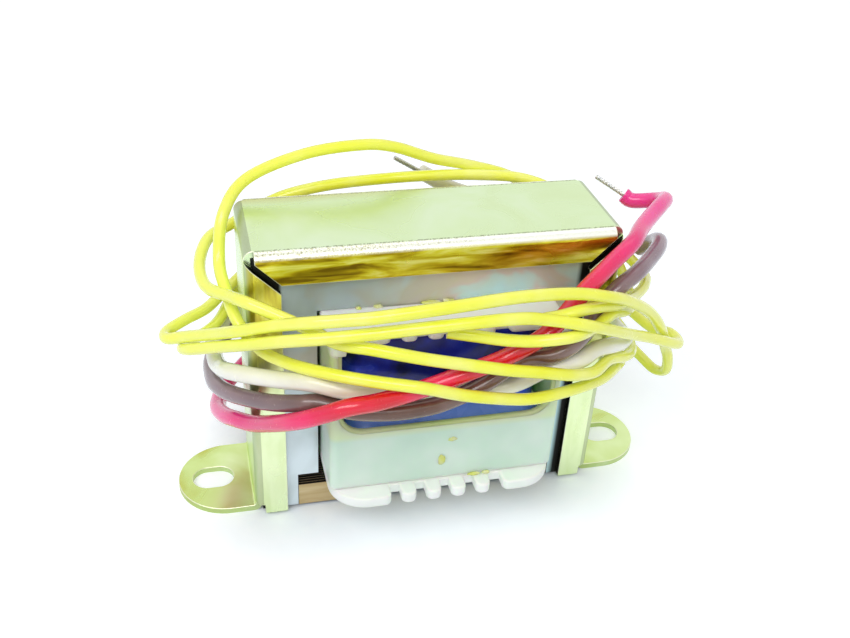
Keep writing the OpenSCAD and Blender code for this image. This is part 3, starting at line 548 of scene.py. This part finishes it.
# Annealed strip with its straw oxide: tan satin with long faint rolling streaks, and painted dark shade on
# its punched edges
def strawOxideSteel():
    material, tree, shader, place = startMaterial("straw_oxide_steel")
    stretch = addNode(tree, "Mapping", {"Vector": place, "Scale": (cells(9), cells(1), cells(0.9))})
    streaks = addNode(tree, "TexNoise", {"Vector": stretch.outputs["Vector"], "Scale": 1, "Detail": 4})
    oxide = addNode(tree, "ValToRGB", {"Fac": streaks.outputs["Fac"]},
                    stops=[(0.3, "#c0a676"), (0.5, "#cdb78a"), (0.7, "#d8c69c")])
    # painted shade: punched edges, the bar's top among them, near black
    punchedShade = addNode(tree, "Attribute", {}, attribute_name="edgeWear")
    colour = addNode(tree, "Mix", {0: punchedShade.outputs["Fac"], 6: oxide.outputs["Color"],
                                   7: linear("#1c1710")}, data_type="RGBA")
    gloss = addNode(tree, "MapRange", {"Value": streaks.outputs["Fac"], "To Min": 0.34, "To Max": 0.55})
    lines = addNode(tree, "Bump", {"Height": streaks.outputs["Fac"], "Strength": 0.2, "Distance": 0.02 * mm})
    dress(tree, shader, {"Base Color": colour.outputs[2], "Metallic": 0.55,
                         "Roughness": gloss.outputs["Result"], "Normal": lines.outputs["Normal"]})
    return material


# stacks copies of one punched outline, each a hair different in width as in a hand-stacked core
def stackSheets(outline, seed):
    bm = bmesh.new()
    edgeMark = bm.faces.layers.float.new("edgeWear")
    pitch = stack["depth"] / stack["sheets"]
    for i in range(stack["sheets"]):
        front = (-stack["depth"] / 2 + i * pitch + stack["gap"] / 2) * mm
        slip = 1 - stack["play"] / eSheet["half"] * noise.cell(Vector((i, seed, 0.5))) ** 2
        face = bm.faces.new([bm.verts.new((x * slip * mm, front, z * mm)) for x, z in outline])
        grown = bmesh.ops.extrude_face_region(bm, geom=[face])["geom"]
        bmesh.ops.translate(bm, vec=(0, (pitch - stack["gap"]) * mm, 0),
                            verts=[v for v in grown if isinstance(v, bmesh.types.BMVert)])
    # punched edges get the mark that the materials paint black as shade
    for face in bm.faces:
        face.normal_update()
        face[edgeMark] = 0 if abs(face.normal.y) > 0.9 else 1
    rims = [e for e in bm.edges if len(e.link_faces) == 2
            and {round(f[edgeMark]) for f in e.link_faces} == {0, 1}]
    rounded = bmesh.ops.bevel(bm, geom=rims, offset=stack["burr"] * mm, offset_type="OFFSET", affect="EDGES",
                              segments=1, profile=0.5, material=-1, clamp_overlap=True)
    for face in rounded["faces"]:
        face[edgeMark] = stack["burrShade"]
    bmesh.ops.recalc_face_normals(bm, faces=bm.faces[:])
    return bm


addPiece("e_sheets", closeMesh(stackSheets(eOutline, 1), "e_sheets"), coatedSiliconSteel(),
         ["lamination_stack"])
addPiece("bar_strips", closeMesh(stackSheets(barOutline, 5), "bar_strips"), strawOxideSteel(),
         ["yoke_bar"])
print("core stacked")

# Nylon: edge rounds of the bobbin and its two covers, in millimetres
# a cover's opening, between the heights in keep, stays sharp under its bead
coverRounds = {"edge": 0.28, "segments": 4, "keep": (10.5, 31)}
moulded = {"bobbin": {"edge": 0.25, "segments": 3}, "winding_cover_front": coverRounds,
           "winding_cover_rear": coverRounds}
nylonRim = {"zone": (17.9, 18.7), "olive": "#dfeeb0"}


# Natural nylon, injection moulded: milky with a cool green cast and a soft inner glow,
# whiter at rounded edges, olive towards a cover's open rim where it is seen edge on, a painted stand-in for
# light through the edge and shade inside the rim,
# with a fine satin skin and slow sink marks
def naturalNylon(name, deep, body, pale, rimShade):
    material, tree, shader, place = startMaterial(name)
    clouds = addNode(tree, "TexNoise", {"Vector": place, "Scale": cells(8), "Detail": 2})
    milk = addNode(tree, "ValToRGB", {"Fac": clouds.outputs["Fac"]},
                   stops=[(0.3, deep), (0.5, body), (0.72, pale)])
    axes = addNode(tree, "SeparateXYZ", {"Vector": place}).outputs
    nearRim = addNode(tree, "MapRange", {"Value": axes["Z"], **between(*nylonRim["zone"]), "To Max": rimShade})
    # painted light and shade: olive towards the cover's rim
    rimShaded = addNode(tree, "Mix", {0: nearRim.outputs["Result"], 6: milk.outputs["Color"],
                                  7: linear(nylonRim["olive"])}, data_type="RGBA")
    corner = addNode(tree, "Attribute", {}, attribute_name="edgeWear")
    colour = addNode(tree, "Mix", {0: corner.outputs["Fac"], 6: rimShaded.outputs[2], 7: linear("#f3faec")},
                     data_type="RGBA")
    skin = addNode(tree, "TexNoise", {"Vector": place, "Scale": cells(0.45), "Detail": 3})
    gloss = addNode(tree, "MapRange", {"Value": skin.outputs["Fac"], "To Min": 0.26, "To Max": 0.42})
    sink = addNode(tree, "Bump", {"Height": clouds.outputs["Fac"], "Strength": 0.25, "Distance": 0.2 * mm})
    satin = addNode(tree, "Bump", {"Height": skin.outputs["Fac"], "Strength": 0.15, "Distance": 0.02 * mm,
                                   "Normal": sink.outputs["Normal"]})
    dress(tree, shader, {"Base Color": colour.outputs[2], "Roughness": gloss.outputs["Result"], "IOR": 1.53,
                         "Normal": satin.outputs["Normal"], "Subsurface Weight": 0.8, "Subsurface Scale": 1,
                         "Subsurface Radius": (1.2 * mm, 1.6 * mm, 1.2 * mm)})
    return material


thickNylon = naturalNylon("natural_nylon", "#eaf6ea", "#f0f9f0", "#f5fbf4", 0)
thinNylon = naturalNylon("natural_nylon_wall", "#cae6d2", "#d2ebd8", "#dcf2e0", 0.6)
# olive rim bead colours: painted shade of the gap inside the rim
rimNylonShade = naturalNylon("nylon_rim_painted_shade", "#c2d884", "#cee098", "#dae8ae", 0)
for node, rounds in moulded.items():
    mesh = closeMesh(softenEdges(copyNode(node), **rounds), "moulded_" + node)
    part = addPiece("moulded_" + node, mesh, thickNylon if node == "bobbin" else thinNylon, [node])
    part.modifiers.new("even", "WEIGHTED_NORMAL").keep_sharp = True

# Rims: a rounded bead along each cover's open edge, in millimetres, coloured olive as painted shade of the
# gap inside the rim
rim = {"half": 14.55, "low": 18.95, "high": 31.5, "corner": 3.5, "steps": 6, "out": 15.14, "bead": 0.5}
rimLine = [(-rim["half"], rim["high"])]
for step in range(rim["steps"] + 1):
    angle = math.radians(180 + 90 * step / rim["steps"])
    rimLine.append((-rim["half"] + rim["corner"] * (1 + math.cos(angle)),
                    rim["low"] + rim["corner"] * (1 + math.sin(angle))))
rimLine += [(-x, z) for x, z in reversed(rimLine)]
beads = bpy.data.curves.new("rim_beads", "CURVE")
beads.dimensions, beads.use_fill_caps = "3D", True
beads.bevel_depth, beads.bevel_resolution = rim["bead"] * mm, 4
for side in (-1, 1):
    spline = beads.splines.new("POLY")
    spline.points.add(len(rimLine) - 1)
    for point, (x, z) in zip(spline.points, rimLine):
        point.co = (x * mm, side * rim["out"] * mm, z * mm, 1)
addPiece("rim_beads", beads, rimNylonShade, None)
print("nylon moulded")

# Blue tape, in millimetres: a film band with slow bubbles that hardly sink, loose folds on its front
# towards -X, and a lower edge that flares to the front
tapeBand = {"half": (13.5, 12.9), "low": 18.45, "high": 31.65, "film": 0.12, "corner": 3, "cornerSteps": 8,
            "cutsUp": 47, "cutsAcross": 39, "bubble": (6, 6, 5), "swell": 0.14, "sink": 0.15, "front": -12,
            "looseFrom": -5, "looseOver": 8, "pull": (1.6, 7), "pullSlice": 3, "lift": 0.1, "fold": 0.3,
            "flare": 1.3, "skirt": 2.6}
skirtLightZone = (21.5, 19.5)


# Polyester film tape, wound tight over the coil: deep glossy film with slow bubbles and upright pull folds,
# with painted light on the lower edge, where it flares to the front
def polyesterTape(name, deep, body, pale, skirt):
    material, tree, shader, place = startMaterial(name)
    clouds = addNode(tree, "TexNoise", {"Vector": place, "Scale": cells(5), "Detail": 2, "Distortion": 0.7})
    film = addNode(tree, "ValToRGB", {"Fac": clouds.outputs["Fac"]},
                   stops=[(0.34, deep), (0.52, body), (0.72, pale)])
    axes = addNode(tree, "SeparateXYZ", {"Vector": place}).outputs
    # painted light: the lower edge takes the lighter skirt colour
    loose = addNode(tree, "MapRange", {"Value": axes["Z"], **between(*skirtLightZone)})
    colour = addNode(tree, "Mix", {0: loose.outputs["Result"], 6: film.outputs["Color"], 7: linear(skirt)},
                     data_type="RGBA")
    stretch = addNode(tree, "Mapping", {"Vector": place, "Scale": (cells(2), cells(2), cells(9))})
    pulls = addNode(tree, "TexNoise", {"Vector": stretch.outputs["Vector"], "Scale": 1, "Detail": 1})
    gloss = addNode(tree, "MapRange", {"Value": clouds.outputs["Fac"], "To Min": 0.18, "To Max": 0.34})
    wrinkle = addNode(tree, "Bump", {"Height": pulls.outputs["Fac"], "Strength": 0.4, "Distance": 0.2 * mm})
    dress(tree, shader, {"Base Color": colour.outputs[2], "Roughness": gloss.outputs["Result"], "IOR": 1.45,
                         "Normal": wrinkle.outputs["Normal"]})
    return material


# Enamelled copper wire, layer wound: amber metal, ribbed up the coil, with ribs drawn about six turns wide
def enamelledCopper():
    material, tree, shader, place = startMaterial("enamelled_copper")
    turns = addNode(tree, "TexWave", {"Vector": place, "Scale": cells(0.45) / 20, "Distortion": 0.4},
                    wave_type="BANDS", bands_direction="Z")
    colour = addNode(tree, "ValToRGB", {"Fac": turns.outputs["Fac"]},
                     stops=[(0.1, "#6d3516"), (0.6, "#b5652f"), (1, "#cf8447")])
    ribs = addNode(tree, "Bump", {"Height": turns.outputs["Fac"], "Strength": 0.8, "Distance": 0.15 * mm})
    gloss = addNode(tree, "MapRange", {"Value": turns.outputs["Fac"], "To Min": 0.22, "To Max": 0.4})
    dress(tree, shader, {"Base Color": colour.outputs["Color"], "Metallic": 0.85,
                         "Roughness": gloss.outputs["Result"], "Normal": ribs.outputs["Normal"]})
    return material


# edges of the band that stand upright
def uprightEdges(bm, tall):
    return [e for e in bm.edges if abs((e.verts[0].co - e.verts[1].co).z) > tall * mm / 2]


# rounds and divides an open box, then pushes its film in and out
def wrapTape():
    bm = bmesh.new()
    wide, deep = tapeBand["half"]
    tall = tapeBand["high"] - tapeBand["low"]
    bmesh.ops.create_cube(bm, size=1, matrix=Matrix.Translation((0, 0, (tapeBand["low"] + tall / 2) * mm))
                          @ Matrix.Diagonal((2 * wide * mm, 2 * deep * mm, tall * mm, 1)))
    bmesh.ops.delete(bm, geom=[f for f in bm.faces if abs(f.normal.z) > 0.9], context="FACES_ONLY")
    bmesh.ops.bevel(bm, geom=uprightEdges(bm, tall), offset=tapeBand["corner"] * mm, offset_type="OFFSET",
                    affect="EDGES", segments=tapeBand["cornerSteps"], profile=0.5, material=-1)
    bmesh.ops.subdivide_edges(bm, edges=uprightEdges(bm, tall), cuts=tapeBand["cutsUp"], use_grid_fill=True)
    flat = [e for e in bm.edges if e.calc_length() > tapeBand["corner"] * mm]
    bmesh.ops.subdivide_edges(bm, edges=flat, cuts=tapeBand["cutsAcross"], use_grid_fill=True)
    bm.normal_update()
    pullWide, pullTall = tapeBand["pull"]
    for v in bm.verts:
        p = v.co / mm
        onFront = p.y < tapeBand["front"]
        slow = noise.noise(Vector([c / s for c, s in zip(p, tapeBand["bubble"])])) * tapeBand["swell"]
        loose = max(0, (tapeBand["looseFrom"] - p.x) / tapeBand["looseOver"]) * tapeBand["fold"] * onFront
        pull = noise.noise(Vector((p.x / pullWide, tapeBand["pullSlice"], p.z / pullTall)))
        crease = loose * (pull + tapeBand["lift"])
        drop = max(0, 1 - (p.z - tapeBand["low"]) / tapeBand["skirt"]) * onFront
        v.co += v.normal * (max(slow + crease, -tapeBand["sink"]) + tapeBand["flare"] * drop ** 2) * mm
    return bm


blueTape = polyesterTape("blue_polyester_tape", "#0a1048", "#1220a0", "#2846e0", "#709cff")
tapePiece = addPiece("blue_tape", closeMesh(wrapTape(), "blue_tape"), blueTape, ["secondary_tape"])
film = tapePiece.modifiers.new("film", "SOLIDIFY")
film.thickness, film.offset = tapeBand["film"] * mm, -1
creamTape = polyesterTape("cream_polyester_tape", "#c9c3a0", "#d8d3b6", "#e4e1cc", "#d8d3b6")
copper = enamelledCopper()
inside = {"primary_tape": creamTape, "primary_winding": copper, "secondary_winding": copper}
for node, finish in inside.items():
    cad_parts[node].data.materials.clear()
    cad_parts[node].data.materials.append(finish)
print("windings taped")

# Varnish drops: where they sit and their half sizes along x, y and z, in millimetres
drops = [((-10.6, -7.6, 33.25), (0.4, 0.3, 0.25)),
         ((-8, -7.6, 33.25), (0.6, 0.4, 0.3)),
         ((-1, -7.6, 33.25), (1.3, 0.4, 0.25)),
         ((1.4, -7.6, 33.25), (0.8, 0.4, 0.3)),
         ((6.8, -7.6, 33.25), (0.7, 0.4, 0.25)),
         ((-0.4, -15.72, 13.1), (0.55, 0.14, 0.85)),
         ((0.9, -15.72, 16.5), (0.6, 0.12, 0.35)),
         ((4.2, -15.9, 10.05), (0.9, 0.3, 0.25)),
         ((6, -15.9, 10.05), (0.6, 0.25, 0.25))]
dropLumps = {"height": 0.35, "pace": 1.3, "apart": 7}


# Dipping varnish, set in drops where it ran: clear pale amber, glossy, cloudier in the thick of a drop
def settledVarnish():
    material, tree, shader, place = startMaterial("settled_varnish")
    clouds = addNode(tree, "TexNoise", {"Vector": place, "Scale": cells(1.5), "Detail": 2})
    colour = addNode(tree, "ValToRGB", {"Fac": clouds.outputs["Fac"]},
                     stops=[(0.35, "#e9ed78"), (0.5, "#f2f5a8"), (0.7, "#fafbdc")])
    gloss = addNode(tree, "MapRange", {"Value": clouds.outputs["Fac"], "To Min": 0.1, "To Max": 0.25})
    ripple = addNode(tree, "Bump", {"Height": clouds.outputs["Fac"], "Strength": 0.3, "Distance": 0.05 * mm})
    dress(tree, shader, {"Base Color": colour.outputs["Color"], "Roughness": gloss.outputs["Result"],
                         "IOR": 1.5, "Normal": ripple.outputs["Normal"], "Transmission Weight": 0.25,
                         "Subsurface Weight": 0.4, "Subsurface Scale": 1,
                         "Subsurface Radius": (0.5 * mm, 0.5 * mm, 0.3 * mm)})
    return material


# sets uneven round drops, each of its own shape
def dropVarnish():
    bm = bmesh.new()
    for i, (at, size) in enumerate(drops):
        blob = bmesh.ops.create_icosphere(bm, subdivisions=3, radius=1)["verts"]
        for v in blob:
            lump = noise.noise(v.co * dropLumps["pace"] + Vector((i * dropLumps["apart"], 0, 0)))
            v.co *= 1 + dropLumps["height"] * lump
        sized = Matrix.Diagonal((*(s * mm for s in size), 1))
        bmesh.ops.transform(bm, verts=blob, matrix=Matrix.Translation(Vector(at) * mm) @ sized)
    return bm


addPiece("varnish_drops", closeMesh(dropVarnish(), "varnish_drops"), settledVarnish(), None)
print("varnish dropped:", len(drops))

# Studio, in metres and watts: white floor, soft lamps over and in front, and a plain pale world
# the floor's glow, as the camera sees it, is none under the part, clear past the contact and more far away
studio = {"floor": 1.2, "world": 0.5, "aim": (0, 0, 0.02),
          "key": {"at": (0.08, 0.2, 0.6), "size": (0.8, 0.22), "watts": 0.4},
          "fill": {"at": (-0.25, -0.42, 0.6), "size": (0.9, 0.26), "watts": 3.45},
          "under": (0.022, 0.008, 0), "contact": 0.012, "far": (0.15, 0.7), "glow": (0, 0.34, 0.18)}


# 1 where the camera looks, straight or by way of metal and clear things, and 0 for other light
def cameraLooks(tree):
    path = addNode(tree, "LightPath", {}).outputs
    seen = addNode(tree, "Math", {0: path["Is Camera Ray"], 1: path["Is Glossy Ray"]}, operation="MAXIMUM")
    looks = addNode(tree, "Math", {0: seen.outputs[0], 1: path["Is Transmission Ray"]}, operation="MAXIMUM")
    return looks.outputs[0]


# White paper, matt and faintly uneven, which glows for the camera alone so that it keeps its shadows
def whitePaper():
    material, tree, shader, place = startMaterial("white_paper_floor")
    fibre = addNode(tree, "TexNoise", {"Vector": place, "Scale": cells(3), "Detail": 3})
    paper = addNode(tree, "ValToRGB", {"Fac": fibre.outputs["Fac"]},
                    stops=[(0.3, "#e8eff6"), (0.7, "#edf3f9")])
    reach = addNode(tree, "VectorMath", {0: place}, operation="ABSOLUTE")
    past = addNode(tree, "VectorMath", {0: reach.outputs["Vector"], 1: studio["under"]}, operation="SUBTRACT")
    outside = addNode(tree, "VectorMath", {0: past.outputs["Vector"], 1: (0, 0, 0)}, operation="MAXIMUM")
    away = addNode(tree, "VectorMath", {0: outside.outputs["Vector"]}, operation="LENGTH").outputs["Value"]
    near, clear, more = studio["glow"]
    farFrom, farTo = studio["far"]
    contact = addNode(tree, "MapRange", {"Value": away, "From Max": studio["contact"], "To Min": near,
                                         "To Max": clear})
    rise = addNode(tree, "MapRange", {"Value": away, "From Min": farFrom, "From Max": farTo, "To Max": more})
    sweep = addNode(tree, "Math", {0: contact.outputs["Result"], 1: rise.outputs["Result"]}, operation="ADD")
    glow = addNode(tree, "Math", {0: cameraLooks(tree), 1: sweep.outputs[0]}, operation="MULTIPLY")
    dress(tree, shader, {"Base Color": paper.outputs["Color"], "Roughness": 0.9, "Specular IOR Level": 0.1,
                         "Emission Color": linear("#ffffff"), "Emission Strength": glow.outputs[0]})
    return material


# a wide sheet of paper under the part
def layFloor():
    bm = bmesh.new()
    bmesh.ops.create_grid(bm, x_segments=1, y_segments=1, size=studio["floor"])
    floor = bpy.data.objects.new("floor", closeMesh(bm, "floor"))
    bpy.context.scene.collection.objects.link(floor)
    floor.data.materials.append(whitePaper())


# a soft lamp aimed at the part
def hangLamp(name, lamp):
    light = bpy.data.lights.new(name, "AREA")
    light.shape, light.energy = "RECTANGLE", lamp["watts"]
    light.size, light.size_y = lamp["size"]
    holder = bpy.data.objects.new(name, light)
    bpy.context.scene.collection.objects.link(holder)
    aim = Vector(studio["aim"]) - Vector(lamp["at"])
    holder.matrix_world = Matrix.Translation(lamp["at"]) @ aim.to_track_quat("-Z", "Y").to_matrix().to_4x4()


# white to the camera, and a plain level of light on the part
def paintWorld():
    world = bpy.data.worlds.new("pale_studio")
    bpy.context.scene.world = world
    world.use_nodes = True
    tree = world.node_tree
    level = addNode(tree, "MapRange", {"Value": cameraLooks(tree), "To Min": studio["world"], "To Max": 1})
    dress(tree, tree.nodes["Background"], {"Color": linear("#ffffff"), "Strength": level.outputs["Result"]})


layFloor()
hangLamp("key_lamp", studio["key"])
hangLamp("fill_lamp", studio["fill"])
paintWorld()
bpy.context.scene.view_settings.view_transform = "Standard"
print("studio lit")
